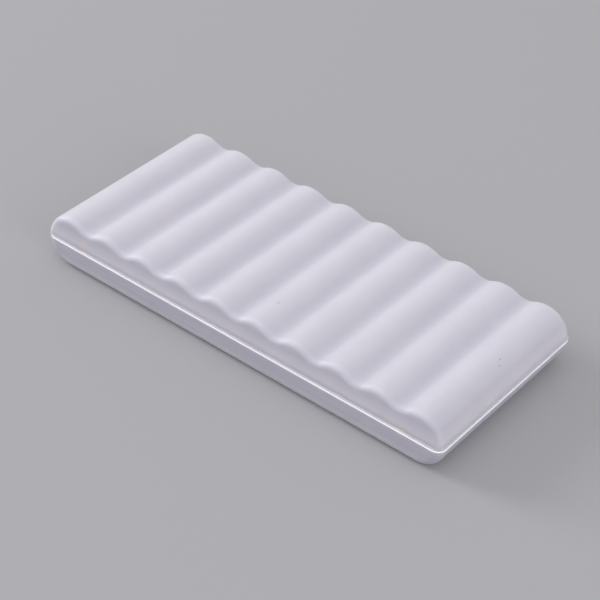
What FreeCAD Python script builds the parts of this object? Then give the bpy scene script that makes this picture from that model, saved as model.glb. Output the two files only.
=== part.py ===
import FreeCAD, Part
import math
import os

import Sketcher

# Storage case for a row of small round cells, moulded in milky polypropylene.
# The corrugated lid swings on two thin straps along the back and snaps over the tray's lip.
# X runs along the row of cells, -Y is the front, +Z is up, all in millimetres.
# The origin is the middle of the tray's flat underside.

driving_sizes = {
    "cell_count": 10,
    "cell_diameter": 10.5,
    "cell_length": 44.5,
    "cell_end_play": 1.45,
    "cell_row_play": 0.3,
    "cell_head_room": 0.25,
    "cell_lift": 0.35,
    "wall": 1.1,
    "hump_gap": 0.4,
    "hump_radius": 6.7,
    "valley_radius": 4.25,
    "edge_round": 1.3,
    "corner_round": 2.0,
    "lid_lean": 7.0,
    "tray_lean": 2.5,
    "tray_depth": 6.5,
    "rim_land": 0.3,
    "lid_land": 0.5,
    "bead_rise": 0.6,
    "bead_proud": 0.2,
    "bead_bevel": 0.18,
    "lip_rise": 1.0,
    "lip_thickness": 0.45,
    "lip_clearance": 0.1,
    "lip_headroom": 0.15,
    "lip_lead": 0.15,
    "snap_length": 3.0,
    "snap_radius": 0.3,
    "snap_proud": 0.2,
    "snap_clearance": 0.08,
    "snap_from_end": 9.0,
    "rest_thickness": 1.0,
    "rest_spacing": 24.0,
    "rest_rise": 2.6,
    "rest_clearance": 0.1,
    "strap_length": 20.0,
    "strap_spacing": 54.0,
    "strap_thickness": 0.25,
    "strap_bend": 0.3,
    "land_margin": 0.5,
}

# Worked out in the sheet from the sizes above.
derived_sizes = {
    "hump_pitch": "cell_diameter + hump_gap",
    "last_hump": "(cell_count - 1) / 2 * hump_pitch",
    "case_rise": "wall + cell_lift + cell_diameter + cell_head_room + wall",
    "end_radius": "case_rise - tray_depth - lid_land",
    "case_length": "2 * (last_hump + end_radius)",
    "case_width": "cell_length + 2 * (cell_end_play + wall)",
    "cell_middle": "wall + cell_lift + cell_diameter / 2",
    "tray_end": "tray_depth - rim_land",
    "cell_pitch": "(case_length - 2 * wall - cell_row_play) / cell_count",
    "lip_inset": "wall - lip_thickness",
    "rebate_inset": "lip_inset - lip_clearance",
    "snap_middle": "case_width / 2 - lip_inset - snap_radius + snap_proud",
    "snap_place": "case_length / 2 - snap_from_end",
    "hinge_face": "case_width / 2 + bead_proud",
    "lid_slope": "tan(lid_lean)",
    "tray_slope": "-tan(tray_lean)",
}

# A cutter reaches this far past the face that it opens.
overshoot = 1.0
# Points closer than this count as one place when an edge is picked.
near = 1e-4

doc = FreeCAD.newDocument("StorageCase")
sheet = doc.addObject("Spreadsheet::Sheet", "Sizes")


def fill_sheet():
    row = 1
    for name, value in driving_sizes.items():
        sheet.set("A%d" % row, name)
        sheet.set("B%d" % row, str(value))
        sheet.setAlias("B%d" % row, name)
        row += 1
    for name, formula in derived_sizes.items():
        sheet.set("A%d" % row, name)
        sheet.set("B%d" % row, "=" + formula)
        sheet.setAlias("B%d" % row, name)
        row += 1
    doc.recompute()


def size(name):
    return float(sheet.get(name))


def bind(feature, **formulas):
    for path, formula in formulas.items():
        feature.setExpression(path.replace("__", "."), formula)


def new_sketch(body, name, role):
    sketch = body.newObject("Sketcher::SketchObject", name)
    plane = [item for item in body.Origin.OriginFeatures if item.Role == role][0]
    sketch.AttachmentSupport = [(plane, "")]
    sketch.MapMode = "FlatFace"
    return sketch


def dimension(sketch, kind, places, formula):
    value = float(sketch.evalExpression(formula))
    index = sketch.addConstraint(Sketcher.Constraint(kind, *places, value))
    sketch.setExpression("Constraints[%d]" % index, formula)


def arc(sketch, middle, radius, start, end):
    circle = Part.Circle(FreeCAD.Vector(middle[0], middle[1], 0), FreeCAD.Vector(0, 0, 1), radius)
    return sketch.addGeometry(Part.ArcOfCircle(circle, start, end), False)


def line(sketch, start, end):
    first = FreeCAD.Vector(start[0], start[1], 0)
    second = FreeCAD.Vector(end[0], end[1], 0)
    return sketch.addGeometry(Part.LineSegment(first, second), False)


# Numbers that the sketcher uses for the start, end and middle of a curve, and for the origin.
START, END, MIDDLE = range(1, 4)
ORIGIN = (-1, 1)


def join_smoothly(sketch, chain):
    for (first, _, first_right), (second, second_left, _) in zip(chain, chain[1:]):
        sketch.addConstraint(Sketcher.Constraint("Tangent", first, first_right, second, second_left))


# The lid's section along the row: a wave of humps joined by valleys, a quarter round at each end.
# inset moves every face inwards, so one function draws the outside and the hollow.
def draw_wave(sketch, inset, foot):
    count = int(size("cell_count"))
    pitch = size("hump_pitch")
    first = -size("last_hump")
    shift = float(sketch.evalExpression(inset))
    bottom = float(sketch.evalExpression(foot))
    top = size("case_rise") - shift
    hump = size("hump_radius") - shift
    valley = size("valley_radius") + shift
    end = size("end_radius") - shift
    slope = math.asin(pitch / 2 / (hump + valley))
    up, down = math.pi / 2, -math.pi / 2
    valley_middle = top - hump + (hump + valley) * math.cos(slope)

    left_wall = line(sketch, (first - end, bottom), (first - end, top - end))
    left_end = arc(sketch, (first, top - end), end, up, math.pi)
    chain = [(left_wall, START, END), (left_end, END, START)]
    humps = []
    valleys = []
    for index in range(count):
        middle = first + index * pitch
        left_angle = up if index == 0 else up + slope
        right_angle = up if index == count - 1 else up - slope
        humps.append(arc(sketch, (middle, top - hump), hump, right_angle, left_angle))
        chain.append((humps[-1], END, START))
        if index < count - 1:
            place = (middle + pitch / 2, valley_middle)
            valleys.append(arc(sketch, place, valley, down - slope, down + slope))
            chain.append((valleys[-1], START, END))
    right_end = arc(sketch, (-first, top - end), end, 0, up)
    right_wall = line(sketch, (-first + end, top - end), (-first + end, bottom))
    chain += [(right_end, END, START), (right_wall, START, END)]
    base = line(sketch, (-first + end, bottom), (first - end, bottom))

    join_smoothly(sketch, chain)
    sketch.addConstraint(Sketcher.Constraint("Coincident", right_wall, END, base, START))
    sketch.addConstraint(Sketcher.Constraint("Coincident", base, END, left_wall, START))
    sketch.addConstraint(Sketcher.Constraint("Horizontal", base))
    sketch.addConstraint(Sketcher.Constraint("Vertical", left_wall))
    sketch.addConstraint(Sketcher.Constraint("Vertical", right_wall))
    sketch.addConstraint(Sketcher.Constraint("Vertical", left_end, MIDDLE, humps[0], MIDDLE))
    sketch.addConstraint(Sketcher.Constraint("Vertical", right_end, MIDDLE, humps[-1], MIDDLE))
    sketch.addConstraint(Sketcher.Constraint("Equal", left_end, right_end))
    for previous, current in zip(humps, humps[1:]):
        sketch.addConstraint(Sketcher.Constraint("Equal", previous, current))
        sketch.addConstraint(Sketcher.Constraint("Horizontal", previous, MIDDLE, current, MIDDLE))
        dimension(sketch, "DistanceX", (previous, MIDDLE, current, MIDDLE), "Sizes.hump_pitch")
    for previous, current in zip(valleys, valleys[1:]):
        sketch.addConstraint(Sketcher.Constraint("Equal", previous, current))
    dimension(sketch, "Radius", (humps[0],), "Sizes.hump_radius - " + inset)
    dimension(sketch, "Radius", (valleys[0],), "Sizes.valley_radius + " + inset)
    dimension(sketch, "Radius", (left_end,), "Sizes.end_radius - " + inset)
    dimension(sketch, "DistanceX", (humps[0], MIDDLE) + ORIGIN, "Sizes.last_hump")
    dimension(sketch, "DistanceY", ORIGIN + (humps[0], MIDDLE), "Sizes.case_rise - Sizes.hump_radius")
    dimension(sketch, "DistanceY", ORIGIN + (base, START), foot)


# The tray's section along the row: flat underneath, a quarter round up to the rim at each end.
def draw_trough(sketch, inset, rim):
    shift = float(sketch.evalExpression(inset))
    top = float(sketch.evalExpression(rim))
    bend = size("tray_end") - shift
    half = size("case_length") / 2 - shift
    left_wall = line(sketch, (-half, top), (-half, shift + bend))
    left_end = arc(sketch, (bend - half, shift + bend), bend, math.pi, 1.5 * math.pi)
    base = line(sketch, (bend - half, shift), (half - bend, shift))
    right_end = arc(sketch, (half - bend, shift + bend), bend, -math.pi / 2, 0)
    right_wall = line(sketch, (half, shift + bend), (half, top))
    mouth = line(sketch, (half, top), (-half, top))
    chain = [(left_wall, START, END), (left_end, START, END), (base, START, END)]
    chain += [(right_end, START, END), (right_wall, START, END)]
    join_smoothly(sketch, chain)
    sketch.addConstraint(Sketcher.Constraint("Coincident", right_wall, END, mouth, START))
    sketch.addConstraint(Sketcher.Constraint("Coincident", mouth, END, left_wall, START))
    sketch.addConstraint(Sketcher.Constraint("Horizontal", base))
    sketch.addConstraint(Sketcher.Constraint("Horizontal", mouth))
    sketch.addConstraint(Sketcher.Constraint("Vertical", left_wall))
    sketch.addConstraint(Sketcher.Constraint("Vertical", right_wall))
    sketch.addConstraint(Sketcher.Constraint("Equal", left_end, right_end))
    dimension(sketch, "Radius", (left_end,), "Sizes.tray_end - " + inset)
    dimension(sketch, "DistanceX", (left_wall, START) + ORIGIN, "Sizes.case_length / 2 - " + inset)
    dimension(sketch, "DistanceX", ORIGIN + (right_wall, END), "Sizes.case_length / 2 - " + inset)
    dimension(sketch, "DistanceY", ORIGIN + (base, START), inset)
    dimension(sketch, "DistanceY", ORIGIN + (mouth, START), rim)


# A section drawn along the row and padded across it.
def padded_section(name, draw, inset, limit):
    body = doc.addObject("PartDesign::Body", name + "_body")
    sketch = new_sketch(body, name + "_section", "XZ_Plane")
    draw(sketch, inset, limit)
    pad = body.newObject("PartDesign::Pad", name + "_pad")
    pad.Profile = sketch
    pad.SideType = "Symmetric"
    bind(pad, Length="Sizes.case_width - 2 * " + inset)
    doc.recompute()
    return body


# A prism along the row between a leaning front and back wall. The walls stand a full case width
# apart at the rim, less the inset, and come nearer by twice the slope for each millimetre above it.
def leaning_walls(name, inset, slope):
    body = doc.addObject("PartDesign::Body", name + "_body")
    sketch = new_sketch(body, name + "_section", "YZ_Plane")
    half = "Sizes.case_width / 2 - %s - (%s - Sizes.tray_depth) * Sizes.%s"
    bottom_half = half % (inset, "0", slope)
    top_half = half % (inset, "Sizes.case_rise", slope)
    low = float(sketch.evalExpression(bottom_half))
    high = float(sketch.evalExpression(top_half))
    top = size("case_rise")
    corners = [(-low, 0), (low, 0), (high, top), (-high, top)]
    sides = [line(sketch, corners[i], corners[(i + 1) % 4]) for i in range(4)]
    for previous, current in zip(sides, sides[1:] + sides[:1]):
        sketch.addConstraint(Sketcher.Constraint("Coincident", previous, END, current, START))
    floor, _, ceiling, _ = sides
    sketch.addConstraint(Sketcher.Constraint("PointOnObject", floor, START, -1))
    sketch.addConstraint(Sketcher.Constraint("PointOnObject", floor, END, -1))
    sketch.addConstraint(Sketcher.Constraint("Horizontal", ceiling))
    dimension(sketch, "DistanceX", (floor, START) + ORIGIN, bottom_half)
    dimension(sketch, "DistanceX", ORIGIN + (floor, END), bottom_half)
    dimension(sketch, "DistanceX", ORIGIN + (ceiling, START), top_half)
    dimension(sketch, "DistanceX", (ceiling, END) + ORIGIN, top_half)
    dimension(sketch, "DistanceY", ORIGIN + (ceiling, START), "Sizes.case_rise")
    pad = body.newObject("PartDesign::Pad", name + "_pad")
    pad.Profile = sketch
    pad.SideType = "Symmetric"
    bind(pad, Length="Sizes.case_length + 2 * %g" % overshoot)
    doc.recompute()
    return body


def overlap(name, pieces):
    common = doc.addObject("Part::MultiCommon", name)
    common.Shapes = pieces
    doc.recompute()
    return common


# The outside of a shell. Its front and back outlines are rounded: by long_round along the humps or
# the floor, growing to the plan corner's radius where the outline turns into the end walls.
def rounded_outside(name, draw, slope, long_round, bend):
    walls = leaning_walls(name + "_walls", "0", slope)
    body = padded_section(name, draw, "0", "Sizes.tray_depth")
    leaning = overlap(name + "_sharp", [body, walls])
    straight_end = size("case_length") / 2 - size(bend)
    rim = size("tray_depth")

    def is_on_wall(point):
        return abs(abs(point.y) + (point.z - rim) * size(slope) - size("case_width") / 2) < near

    def radius_at(point):
        return size("corner_round") if abs(point.x) > straight_end + near else size(long_round)

    edges = []
    for number, edge in enumerate(leaning.Shape.Edges, 1):
        ends = [edge.valueAt(edge.FirstParameter), edge.valueAt(edge.LastParameter)]
        ends.sort(key=lambda point: point.x)
        on_side = all(is_on_wall(point) for point in ends) and ends[0].y * ends[1].y > 0
        on_rim = all(abs(point.z - rim) < near for point in ends)
        if on_side and not on_rim:
            edges.append((number, radius_at(ends[0]), radius_at(ends[1])))
    block = doc.addObject("Part::Fillet", name)
    block.Base = leaning
    block.Edges = edges
    doc.recompute()
    return block


# The room inside a shell: its section one wall further in, between the given sides.
def shell_room(name, draw, limit, sides):
    return overlap(name, [padded_section(name, draw, "Sizes.wall", limit), sides])


# A flat plate with the case's plan, inset from it all round.
def plan_plate(name, inset, bottom, rise):
    plate = doc.addObject("Part::Box", name + "_blank")
    bind(plate,
         Length="Sizes.case_length - 2 * (%s)" % inset,
         Width="Sizes.case_width - 2 * (%s)" % inset,
         Height=rise,
         Placement__Base__x="(%s) - Sizes.case_length / 2" % inset,
         Placement__Base__y="(%s) - Sizes.case_width / 2" % inset,
         Placement__Base__z=bottom)
    doc.recompute()
    radius = size("corner_round") - float(plate.evalExpression(inset))
    return round_edges(name, plate, radius, is_upright)


def is_upright(edge):
    direction = edge.valueAt(edge.LastParameter) - edge.valueAt(edge.FirstParameter)
    return abs(direction.x) + abs(direction.y) < near


def lies_at(height):
    def test(edge):
        box = edge.BoundBox
        return abs(box.ZMin - height) < near and abs(box.ZMax - height) < near
    return test


def round_edges(name, base, radius, test, kind="Part::Fillet"):
    rounded = doc.addObject(kind, name)
    rounded.Base = base
    numbers = [number for number, edge in enumerate(base.Shape.Edges, 1) if test(edge)]
    rounded.Edges = [(number, radius, radius) for number in numbers]
    doc.recompute()
    return rounded


def join(name, pieces):
    fused = doc.addObject("Part::MultiFuse", name)
    fused.Shapes = pieces
    fused.Refine = True
    doc.recompute()
    return fused


def cut(name, base, tool):
    result = doc.addObject("Part::Cut", name)
    result.Base = base
    result.Tool = tool
    result.Refine = True
    doc.recompute()
    return result


def box(name, **formulas):
    block = doc.addObject("Part::Box", name)
    bind(block, **formulas)
    return block


along_x = FreeCAD.Rotation(FreeCAD.Vector(0, 1, 0), 90)
along_y = FreeCAD.Rotation(FreeCAD.Vector(1, 0, 0), -90)


def rod(name, direction, **formulas):
    cylinder = doc.addObject("Part::Cylinder", name)
    cylinder.Placement.Rotation = direction
    bind(cylinder, **formulas)
    return cylinder


# A round bar along X at each snap, on the front face of the tray's lip.
def snap_bars(name, radius, length):
    bars = []
    for side, label in ((-1, "left"), (1, "right")):
        bars.append(rod(
            name + "_" + label, along_x,
            Radius=radius,
            Height=length,
            Placement__Base__x="%d * Sizes.snap_place - (%s) / 2" % (side, length),
            Placement__Base__y="-Sizes.snap_middle",
            Placement__Base__z="Sizes.tray_depth + Sizes.lip_rise / 2"))
    return bars


# Two upright ribs across the row, with a round notch for every cell.
def cell_rests():
    ribs = []
    for side, label in ((-1, "front"), (1, "back")):
        ribs.append(box(
            "rib_" + label,
            Length="Sizes.case_length",
            Width="Sizes.rest_thickness",
            Height="Sizes.wall + Sizes.rest_rise",
            Placement__Base__x="-Sizes.case_length / 2",
            Placement__Base__y="%d * Sizes.rest_spacing / 2 - Sizes.rest_thickness / 2" % side))
    notches = []
    for index in range(int(size("cell_count"))):
        notches.append(rod(
            "notch_%d" % (index + 1), along_y,
            Radius="Sizes.cell_diameter / 2 + Sizes.rest_clearance",
            Height="Sizes.cell_length",
            Placement__Base__x="(%d - (Sizes.cell_count - 1) / 2) * Sizes.cell_pitch" % index,
            Placement__Base__y="-Sizes.cell_length / 2",
            Placement__Base__z="Sizes.cell_middle + Sizes.rest_clearance"))
    return cut("cell_rests", join("plain_ribs", ribs), join("notch_row", notches))


# The lip is the inner half of the tray's wall, carried on above the rim.
def tray_lip():
    rise = "Sizes.lip_rise + Sizes.wall"
    start = "Sizes.tray_depth - Sizes.wall"
    outer = plan_plate("lip_plan", "Sizes.lip_inset", start, rise)
    top = size("tray_depth") + size("lip_rise")
    return round_edges("lip_outer", outer, size("lip_lead"), lies_at(top), "Part::Chamfer")


# Short ledges under the bead, where the straps meet the tray.
def hinge_lands():
    lands = []
    for side, label in ((-1, "left"), (1, "right")):
        lands.append(box(
            "land_" + label,
            Length="Sizes.strap_length + 2 * Sizes.land_margin",
            Width="Sizes.bead_proud + Sizes.wall / 2",
            Height="Sizes.bead_rise",
            Placement__Base__x="%d * Sizes.strap_spacing / 2 - Sizes.strap_length / 2"
                               " - Sizes.land_margin" % side,
            Placement__Base__y="(Sizes.case_width - Sizes.wall) / 2",
            Placement__Base__z="Sizes.tray_depth - Sizes.bead_rise"))
    return lands


def make_tray():
    outside = rounded_outside("tray_outside", draw_trough, "tray_slope", "corner_round", "tray_end")
    sides = plan_plate("tray_hollow_plan", "Sizes.wall", "0", "Sizes.case_rise")
    hollow = shell_room("tray_hollow", draw_trough,
                        "Sizes.tray_depth + Sizes.lip_rise + %g" % overshoot, sides)
    bars = snap_bars("snap_nub", "Sizes.snap_radius", "Sizes.snap_length")
    solid = join("tray_solid", [outside, tray_lip()] + bars + hinge_lands())
    room = cut("tray_room", hollow, cell_rests())
    return cut("tray", solid, room)


def make_lid():
    outside = rounded_outside("lid_outside", draw_wave, "lid_slope", "edge_round", "end_radius")
    sides = leaning_walls("lid_hollow_walls", "Sizes.wall", "lid_slope")
    hollow = shell_room("lid_hollow", draw_wave, "Sizes.tray_depth - %g" % overshoot, sides)
    bead_plate = plan_plate("bead_plan", "-Sizes.bead_proud", "Sizes.tray_depth", "Sizes.bead_rise")
    bead_top = size("tray_depth") + size("bead_rise")
    bead = round_edges("bead", bead_plate, size("bead_bevel"), lies_at(bead_top), "Part::Chamfer")
    rebate = plan_plate("rebate", "Sizes.rebate_inset", "Sizes.tray_depth - %g" % overshoot,
                        "Sizes.lip_rise + Sizes.lip_headroom + %g" % overshoot)
    recesses = snap_bars("snap_recess", "Sizes.snap_radius + Sizes.snap_clearance",
                         "Sizes.snap_length + 2 * Sizes.snap_clearance")
    room = join("lid_room", [hollow, rebate] + recesses)
    return cut("lid", join("lid_solid", [outside, bead]), room)


# A film hinge strap in its closed state: a thin half ring from the tray's land to the lid's bead.
def make_strap(name, side):
    body = doc.addObject("PartDesign::Body", name)
    sketch = new_sketch(body, name + "_section", "YZ_Plane")
    inner = size("strap_bend")
    outer = inner + size("strap_thickness")
    inside = arc(sketch, (0, 0), inner, -math.pi / 2, math.pi / 2)
    outside = arc(sketch, (0, 0), outer, -math.pi / 2, math.pi / 2)
    lower = line(sketch, (0, -inner), (0, -outer))
    upper = line(sketch, (0, inner), (0, outer))
    for curve in (inside, outside):
        sketch.addConstraint(Sketcher.Constraint("Coincident", curve, MIDDLE, *ORIGIN))
    for edge, corner in ((lower, START), (upper, END)):
        sketch.addConstraint(Sketcher.Constraint("Coincident", edge, START, inside, corner))
        sketch.addConstraint(Sketcher.Constraint("Coincident", edge, END, outside, corner))
        sketch.addConstraint(Sketcher.Constraint("PointOnObject", edge, START, -2))
        sketch.addConstraint(Sketcher.Constraint("PointOnObject", edge, END, -2))
    dimension(sketch, "Radius", (inside,), "Sizes.strap_bend")
    dimension(sketch, "Radius", (outside,), "Sizes.strap_bend + Sizes.strap_thickness")
    pad = body.newObject("PartDesign::Pad", name + "_pad")
    pad.Profile = sketch
    pad.SideType = "Symmetric"
    bind(pad, Length="Sizes.strap_length")
    bind(body,
         Placement__Base__x="%d * Sizes.strap_spacing / 2" % side,
         Placement__Base__y="Sizes.hinge_face",
         Placement__Base__z="Sizes.tray_depth")
    doc.recompute()
    return body


def check_document(parts):
    for item in doc.Objects:
        if "Invalid" in item.State or "Error" in item.State:
            raise RuntimeError("%s could not be built: %s" % (item.Name, item.State))
    for part in parts:
        if part.Shape.isNull() or not part.Shape.isValid():
            raise RuntimeError("%s has no valid shape" % part.Label)


def write_parts(parts):
    os.makedirs("parts", exist_ok=True)
    for part in parts:
        part.Shape.exportStep("parts/%s.step" % part.Label)
        print("%s: %d solid, %.1f mm3" % (part.Label, len(part.Shape.Solids), part.Shape.Volume))


fill_sheet()
case_parts = [
    make_tray(),
    make_lid(),
    make_strap("hinge_strap_left", -1),
    make_strap("hinge_strap_right", 1),
]
doc.recompute()
check_document(case_parts)
write_parts(case_parts)
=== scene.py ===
import math
import bpy
from mathutils import Matrix, Vector


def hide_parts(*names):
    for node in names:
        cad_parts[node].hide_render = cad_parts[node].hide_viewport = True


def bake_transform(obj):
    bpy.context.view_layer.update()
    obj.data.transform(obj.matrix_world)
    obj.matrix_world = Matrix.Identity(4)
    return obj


# A flat storage case for a row of ten small round cells, moulded in one shot from natural polypropylene.
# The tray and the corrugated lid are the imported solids. Here they get their milky plastic, and the
# two thin straps that join them at the back are modelled as the film hinges they are.

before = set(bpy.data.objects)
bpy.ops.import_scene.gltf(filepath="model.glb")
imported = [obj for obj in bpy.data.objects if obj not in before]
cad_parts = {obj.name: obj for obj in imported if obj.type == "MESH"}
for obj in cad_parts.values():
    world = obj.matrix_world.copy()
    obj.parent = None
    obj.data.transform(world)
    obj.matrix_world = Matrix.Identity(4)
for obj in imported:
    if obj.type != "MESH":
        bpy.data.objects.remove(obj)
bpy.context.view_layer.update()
mm = 0.001
print("frame loaded:", ", ".join(sorted(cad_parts)))


# Small helpers

def hexColor(code, alpha=1.0):  # an sRGB hex colour as the linear values that shaders take
    parts = [int(code[i:i + 2], 16) / 255 for i in (0, 2, 4)]
    return [c / 12.92 if c <= 0.04045 else ((c + 0.055) / 1.055) ** 2.4 for c in parts] + [alpha]


def addNode(tree, kind, links=None, values=None, **settings):  # a node with its settings, values and incoming links
    node = tree.nodes.new(kind)
    for name, value in settings.items():
        setattr(node, name, value)
    for socket, value in (values or {}).items():
        node.inputs[socket].default_value = value
    for socket, source in (links or {}).items():
        tree.links.new(source, node.inputs[socket])
    return node


def newMaterial(name):
    material = bpy.data.materials.new(name)
    material.use_nodes = True
    material.node_tree.nodes.clear()
    return material, material.node_tree


def giveMaterial(thing, material):
    if not thing.material_slots:
        thing.data.materials.append(material)
    for materialSlot in thing.material_slots:
        materialSlot.material = material


# Camera: a long lens from the front right, a little over the case, rolled slightly

cameraSetup = {
    "place": (189.19, -254.7, 254.34),  # mm from the middle of the tray's underside
    "azimuth": 36.677,
    "elevation": 38.485,
    "roll": 3.417,
    "lens": 107.565,
    "sensor": 36.0,
}


def makeCamera(setup):
    data = bpy.data.cameras.new("camera")
    data.lens = setup["lens"]
    data.sensor_width = setup["sensor"]
    data.clip_start = 10 * mm
    camera = bpy.data.objects.new("camera", data)
    bpy.context.collection.objects.link(camera)
    turn = Matrix.Rotation(math.radians(setup["azimuth"]), 4, "Z")
    tilt = Matrix.Rotation(math.radians(90 - setup["elevation"]), 4, "X")
    roll = Matrix.Rotation(math.radians(setup["roll"]), 4, "Z")
    place = Matrix.Translation(Vector(setup["place"]) * mm)
    camera.matrix_world = place @ turn @ tilt @ roll
    bpy.context.scene.camera = camera


makeCamera(cameraSetup)
print("camera set")


# Stage: a plain pale floor in a white tent, with a large soft light at each side

floorLook = {
    "width": 4000,
    "color": "bcbcc0",
    "colorForBounce": "909094",  # what the case sees of it, so that it isn't lit from below
}
worldLook = {
    "backdrop": "bebec2",
    "sky": 0.63,
    "tent": 1.0,  # how bright the white cloth is in reflections
}
lamps = {
    "leftLight": {"from": (-0.9, -0.24, 0.37), "distance": 1500, "width": 640, "watts": 9.6},
    "rightLight": {"from": (0.86, -0.22, 0.42), "distance": 1500, "width": 980, "watts": 3.7},
}


def makeFloor(look):
    bpy.ops.object.select_all(action="DESELECT")
    bpy.ops.mesh.primitive_plane_add(size=look["width"] * mm, location=(0, 0, 0))
    floor = bpy.context.object
    floor.name = "floor"
    material, tree = newMaterial("paintedBoard")  # matt paint: even, with no gloss
    path = addNode(tree, "ShaderNodeLightPath")
    seen = addNode(tree, "ShaderNodeMath", {0: path.outputs["Is Camera Ray"], 1: path.outputs["Is Glossy Ray"]},
                   operation="MAXIMUM")
    seenToo = addNode(tree, "ShaderNodeMath", {0: seen.outputs[0], 1: path.outputs["Is Transmission Ray"]},
                      operation="MAXIMUM")
    dim = addNode(tree, "ShaderNodeBsdfDiffuse", values={"Color": hexColor(look["colorForBounce"])})
    pale = addNode(tree, "ShaderNodeBsdfDiffuse", values={"Color": hexColor(look["color"])})
    either = addNode(tree, "ShaderNodeMixShader",
                     {0: seenToo.outputs[0], 1: dim.outputs[0], 2: pale.outputs[0]})
    addNode(tree, "ShaderNodeOutputMaterial", {"Surface": either.outputs[0]})
    giveMaterial(floor, material)


def makeWorld(look):
    world = bpy.data.worlds.new("studio")
    bpy.context.scene.world = world
    world.use_nodes = True
    tree = world.node_tree
    tree.nodes.clear()
    path = addNode(tree, "ShaderNodeLightPath")
    sky = addNode(tree, "ShaderNodeBackground", values={"Color": (1, 1, 1, 1), "Strength": look["sky"]})
    tent = addNode(tree, "ShaderNodeBackground", values={"Color": (1, 1, 1, 1), "Strength": look["tent"]})
    backdrop = addNode(tree, "ShaderNodeBackground", values={"Color": hexColor(look["backdrop"]), "Strength": 1.0})
    lit = addNode(tree, "ShaderNodeMixShader",
                  {0: path.outputs["Is Glossy Ray"], 1: sky.outputs[0], 2: tent.outputs[0]})
    seen = addNode(tree, "ShaderNodeMixShader",
                   {0: path.outputs["Is Camera Ray"], 1: lit.outputs[0], 2: backdrop.outputs[0]})
    addNode(tree, "ShaderNodeOutputWorld", {"Surface": seen.outputs[0]})


def makeLamp(name, setup):
    data = bpy.data.lights.new(name, "AREA")
    data.shape = "DISK"
    data.size = setup["width"] * mm
    data.energy = setup["watts"]
    lamp = bpy.data.objects.new(name, data)
    bpy.context.collection.objects.link(lamp)
    way = Vector(setup["from"]).normalized()
    lamp.location = way * setup["distance"] * mm
    lamp.rotation_mode = "QUATERNION"
    lamp.rotation_quaternion = way.to_track_quat("Z", "Y")


makeFloor(floorLook)
makeWorld(worldLook)
for lampName, lampSetup in lamps.items():
    makeLamp(lampName, lampSetup)
bpy.context.scene.view_settings.view_transform = "Standard"
print("floor, backdrop and lights made")


# Milky polypropylene: natural, unpigmented, injection moulded in a fine-grained mould.
# Light soaks a millimetre or two into it. Its colour carries painted light and shade by height: painted shade
# in the valleys between the humps and just over the rim's bright line, painted light on the lid's rim and the
# tray's foot, and a painted highlight in a thin nearly white line over the parting plane. There a little glow
# stands in for the light that a milky wall leads along itself and lets out at its edge.

plasticLook = {
    "paintedLightAndShadeByHeight": (  # mm above the table
        (0.0, "f6f4fa"), (1.9, "f0edf6"), (2.9, "e5e2ef"), (5.3, "e5e2ef"), (6.42, "eae6f1"),  # the tray, painted lighter towards its foot
        (6.5, "e8e4f2"), (6.95, "dad6e6"), (7.3, "e8e4f4"), (8.4, "efebfc"),  # the lid's rim: a painted shade line just over the bright line, painted light above it
        (10.3, "e2deeb"), (11.0, "dbd8e6"), (12.0, "e1deec"),  # painted shade at the top of the lid's wall and in the valleys between the humps
        (13.3, "e8e5f2"),  # the hump tops
    ),
    "cloudTint": "f6f6f7",
    "cloudSize": 9.0,  # mm, the faint flow clouds of the melt
    "streakTint": "e4e3e8",
    "streakHeight": 0.28,  # mm, the fine drag lines of the tray's sides
    "streakLength": 22.0,
    "streaksEnd": (5.9, 6.1),  # mm above the table
    # painted highlight: a thin nearly white line round the rim over the parting plane, which also glows
    "rimHighlightColor": "fdfbff",
    "edgeGlow": 0.48,
    "edgeFrom": 6.32,
    "edgeTo": 6.74,
    "edgeSoft": 0.08,
    "edgeDepth": (0.3, 0.1),  # mm inside the rim's plan, where the line starts and is full
    "warmRimSpots": ((-44.2, -24.6, 8.2), (45.6, -24.8, 7.2)),  # mm, warmer spots on the front of the rim near each end
    "warmRimTint": "efe3e8",
    "warmRimReach": 2.4,
    "specks": ((51.4, 1.6, 12.85), (52.3, 0.2, 12.4), (5.2, -15.4, 13.3)),  # mm, dust caught in the melt
    "speckColor": "c4beca",
    "speckSize": 0.42,
    "rimHalfLength": 55.35,  # mm, the case's plan at the rim, under the bead
    "rimHalfWidth": 24.8,
    "rimCorner": 2.0,
    "soakDepth": 1.5,  # mm that light travels inside
    "soakByColor": (1.0, 1.0, 1.0),
    "roughness": 0.42,
    "gloss": 0.4,
    "refraction": 1.49,
    "grainSize": 0.22,  # mm, the mould's fine spark-eroded grain, drawn coarse enough to show
    "grainDepth": 0.004,
    "swellSize": 7.0,  # mm, the gentle unevenness of a thin moulded wall
    "swellDepth": 0.02,
}


def fade(tree, value, start, end):  # 0 at start and 1 at end, both in mm
    return addNode(tree, "ShaderNodeMapRange", {0: value}, {1: start * mm, 2: end * mm},
                   interpolation_type="SMOOTHSTEP").outputs[0]


def byHeight(tree, height, stops):  # a colour ramp over heights in mm
    top = stops[-1][0]
    share = addNode(tree, "ShaderNodeMath", {0: height}, {1: top * mm}, operation="DIVIDE")
    ramp = addNode(tree, "ShaderNodeValToRGB", {0: share.outputs[0]})
    elements = ramp.color_ramp.elements
    for stop, element in zip((stops[0], stops[-1]), elements):
        element.color = hexColor(stop[1])
    for z, code in stops[1:-1]:
        elements.new(z / top).color = hexColor(code)
    return ramp.outputs["Color"]


def noise(tree, place, scale, detail, rough):
    return addNode(tree, "ShaderNodeTexNoise", {"Vector": place},
                   {"Scale": scale, "Detail": detail, "Roughness": rough}).outputs["Fac"]


def product(tree, one, other):
    return addNode(tree, "ShaderNodeMath", {0: one, 1: other}, operation="MULTIPLY").outputs[0]


def mixColor(tree, share, under, over, mode):  # a colour laid over another by a share of 0 to 1
    return addNode(tree, "ShaderNodeMix", {0: share, 6: under}, {7: hexColor(over)},
                   data_type="RGBA", blend_type=mode).outputs[2]


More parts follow.
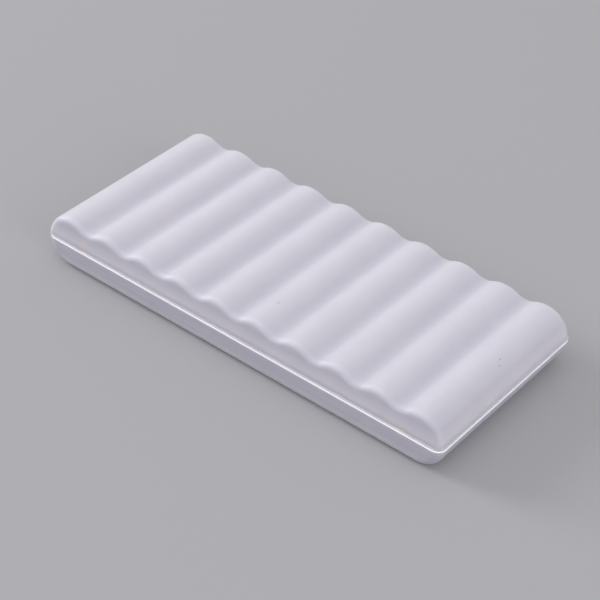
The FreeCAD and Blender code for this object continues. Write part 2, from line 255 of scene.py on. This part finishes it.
def near(tree, place, spot, reach):  # 1 at a spot in mm and 0 from reach on
    gap = addNode(tree, "ShaderNodeVectorMath", {0: place}, {1: [c * mm for c in spot]}, operation="DISTANCE")
    return fade(tree, gap.outputs["Value"], reach, 0.0)


def outsideRim(tree, place, look):  # how far a point stands outside the rim's rounded plan, in metres
    corner = (look["rimHalfLength"] - look["rimCorner"], look["rimHalfWidth"] - look["rimCorner"], 1000)
    mirrored = addNode(tree, "ShaderNodeVectorMath", {0: place}, operation="ABSOLUTE")
    beyond = addNode(tree, "ShaderNodeVectorMath", {0: mirrored.outputs[0]}, {1: [c * mm for c in corner]},
                     operation="SUBTRACT")
    clipped = addNode(tree, "ShaderNodeVectorMath", {0: beyond.outputs[0]}, {1: (0, 0, 0)}, operation="MAXIMUM")
    reach = addNode(tree, "ShaderNodeVectorMath", {0: clipped.outputs[0]}, operation="LENGTH")
    return reach.outputs["Value"]


def makePlastic(look):
    material, tree = newMaterial("milkyPolypropyleneMoulded")
    place = addNode(tree, "ShaderNodeTexCoord").outputs["Object"]
    height = addNode(tree, "ShaderNodeSeparateXYZ", {0: place}).outputs["Z"]
    clouds = noise(tree, place, 1 / (look["cloudSize"] * mm), 2.0, 0.5)
    # painted light and shade by height, under the faint flow clouds
    color = mixColor(tree, clouds, byHeight(tree, height, look["paintedLightAndShadeByHeight"]), look["cloudTint"], "MULTIPLY")
    stretch = [1 / (look[size] * mm) for size in ("streakLength", "streakLength", "streakHeight")]
    stretched = addNode(tree, "ShaderNodeVectorMath", {0: place}, {1: stretch}, operation="MULTIPLY")
    streaks = noise(tree, stretched.outputs[0], 1.0, 1.0, 0.5)
    streaksFull, streaksGone = look["streaksEnd"]
    onTray = product(tree, streaks, fade(tree, height, streaksGone, streaksFull))
    color = mixColor(tree, onTray, color, look["streakTint"], "MULTIPLY")
    for spot in look["warmRimSpots"]:
        color = mixColor(tree, near(tree, place, spot, look["warmRimReach"]), color, look["warmRimTint"], "MIX")
    # the painted highlight round the rim over the parting plane; its glow is set below
    starts, full = [look["rimCorner"] - depth for depth in look["edgeDepth"]]
    outside = fade(tree, outsideRim(tree, place, look), starts, full)
    overFoot = fade(tree, height, look["edgeFrom"] - look["edgeSoft"], look["edgeFrom"])
    underTop = fade(tree, height, look["edgeTo"] + look["edgeSoft"], look["edgeTo"])
    rimHighlightBand = product(tree, outside, product(tree, overFoot, underTop))
    color = mixColor(tree, rimHighlightBand, color, look["rimHighlightColor"], "MIX")
    for speck in look["specks"]:
        color = mixColor(tree, near(tree, place, speck, look["speckSize"]), color, look["speckColor"], "MIX")
    glow = addNode(tree, "ShaderNodeMath", {0: rimHighlightBand}, {1: look["edgeGlow"]}, operation="MULTIPLY")
    grain = noise(tree, place, 1 / (look["grainSize"] * mm), 2.0, 0.6)
    swell = noise(tree, place, 1 / (look["swellSize"] * mm), 1.0, 0.4)
    grainBump = addNode(tree, "ShaderNodeBump", {"Height": grain},
                        {"Strength": 1.0, "Distance": look["grainDepth"] * mm})
    swellBump = addNode(tree, "ShaderNodeBump", {"Height": swell, "Normal": grainBump.outputs[0]},
                        {"Strength": 1.0, "Distance": look["swellDepth"] * mm})
    skin = addNode(tree, "ShaderNodeBsdfPrincipled",
                   {"Base Color": color, "Normal": swellBump.outputs[0], "Emission Strength": glow.outputs[0]},
                   {"Roughness": look["roughness"], "IOR": look["refraction"], "Specular IOR Level": look["gloss"],
                    "Emission Color": hexColor(look["rimHighlightColor"]),
                    "Subsurface Weight": 1.0, "Subsurface Scale": look["soakDepth"] * mm,
                    "Subsurface Radius": look["soakByColor"]},
                   subsurface_method="RANDOM_WALK")
    addNode(tree, "ShaderNodeOutputMaterial", {"Surface": skin.outputs[0]})
    return material


milkyPlastic = makePlastic(plasticLook)
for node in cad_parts.values():
    giveMaterial(node, milkyPlastic)
print("tray and lid finished in milky polypropylene")


# The two film hinges: flexible straps of the same shot of plastic, thinnest at the fold and spread at the roots

strapLook = {
    "length": 20.0,
    "middles": {"hinge_strap_left": -27.0, "hinge_strap_right": 27.0},
    "root": 25.0,  # mm, where the straps leave the tray and the lid
    "parting": 6.5,
    "bend": 0.3,  # mm, the inside of the fold
    "thickness": 0.25,
    "foldShare": 0.6,  # of the thickness, along the fold
    "foldReach": 0.16,
    "edge": 0.06,
    "spread": 1.04,
    "spreadReach": 0.35,
    "steps": 28,
    "smoothUpTo": 50,  # degrees between faces
    "tiny": 0.001,  # mm, for finding vertices in a plane
}


def pick(thing, test):  # selects the vertices whose place in mm passes the test, and starts editing
    bpy.ops.object.mode_set(mode="OBJECT")
    for part in (thing.data.polygons, thing.data.edges):
        part.foreach_set("select", [False] * len(part))
    for vertex in thing.data.vertices:
        vertex.select = test(vertex.co / mm)
    bpy.ops.object.mode_set(mode="EDIT")


def makeStrap(name, middle, look):
    fold = (0, look["root"] * mm, look["parting"] * mm)
    wall = (look["bend"] + look["thickness"] / 2) * mm
    bpy.ops.object.select_all(action="DESELECT")
    bpy.ops.mesh.primitive_plane_add(size=mm, location=(0, 0, 0))
    strap = bpy.context.object
    strap.name = name
    bpy.ops.object.mode_set(mode="EDIT")
    bpy.ops.mesh.select_mode(type="VERT")
    bpy.ops.mesh.select_all(action="SELECT")
    bpy.ops.transform.resize(value=(look["length"], look["thickness"], 1), center_override=(0, 0, 0))
    bpy.ops.transform.rotate(value=math.radians(90), orient_axis="X", center_override=(0, 0, 0))
    bpy.ops.mesh.bevel(offset=look["edge"] * mm, segments=3, affect="VERTICES")
    bpy.ops.mesh.select_all(action="SELECT")
    bpy.ops.transform.translate(value=(0, fold[1], fold[2] - wall))
    bpy.ops.mesh.spin(steps=look["steps"], angle=math.pi, center=fold, axis=(-1, 0, 0))
    bpy.ops.mesh.select_all(action="SELECT")
    bpy.ops.mesh.remove_doubles(threshold=look["tiny"] / 10 * mm)
    bpy.ops.mesh.fill_holes(sides=0)
    bpy.ops.mesh.select_all(action="SELECT")
    bpy.ops.mesh.normals_make_consistent(inside=False)
    pick(strap, lambda at: abs(at.z - look["parting"]) < look["tiny"])
    bpy.ops.transform.resize(value=(1, look["foldShare"], 1), center_override=(0, fold[1] + wall, fold[2]),
                             use_proportional_edit=True, proportional_size=look["foldReach"] * mm)
    pick(strap, lambda at: at.y < look["root"] + look["tiny"])
    bpy.ops.transform.resize(value=(look["spread"], 1, 1), center_override=fold,
                             use_proportional_edit=True, proportional_size=look["spreadReach"] * mm)
    bpy.ops.mesh.select_all(action="SELECT")
    bpy.ops.transform.translate(value=(middle * mm, 0, 0))
    bpy.ops.object.mode_set(mode="OBJECT")
    bpy.ops.object.shade_smooth_by_angle(angle=math.radians(look["smoothUpTo"]))
    giveMaterial(strap, milkyPlastic)
    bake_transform(strap)
    return strap


for strapNode, strapMiddle in strapLook["middles"].items():
    side = "Left" if strapMiddle < 0 else "Right"
    strapPiece = makeStrap("filmHinge" + side, strapMiddle, strapLook)
    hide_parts(strapNode)
    print("strap made:", strapPiece.name, len(strapPiece.data.vertices), "vertices")
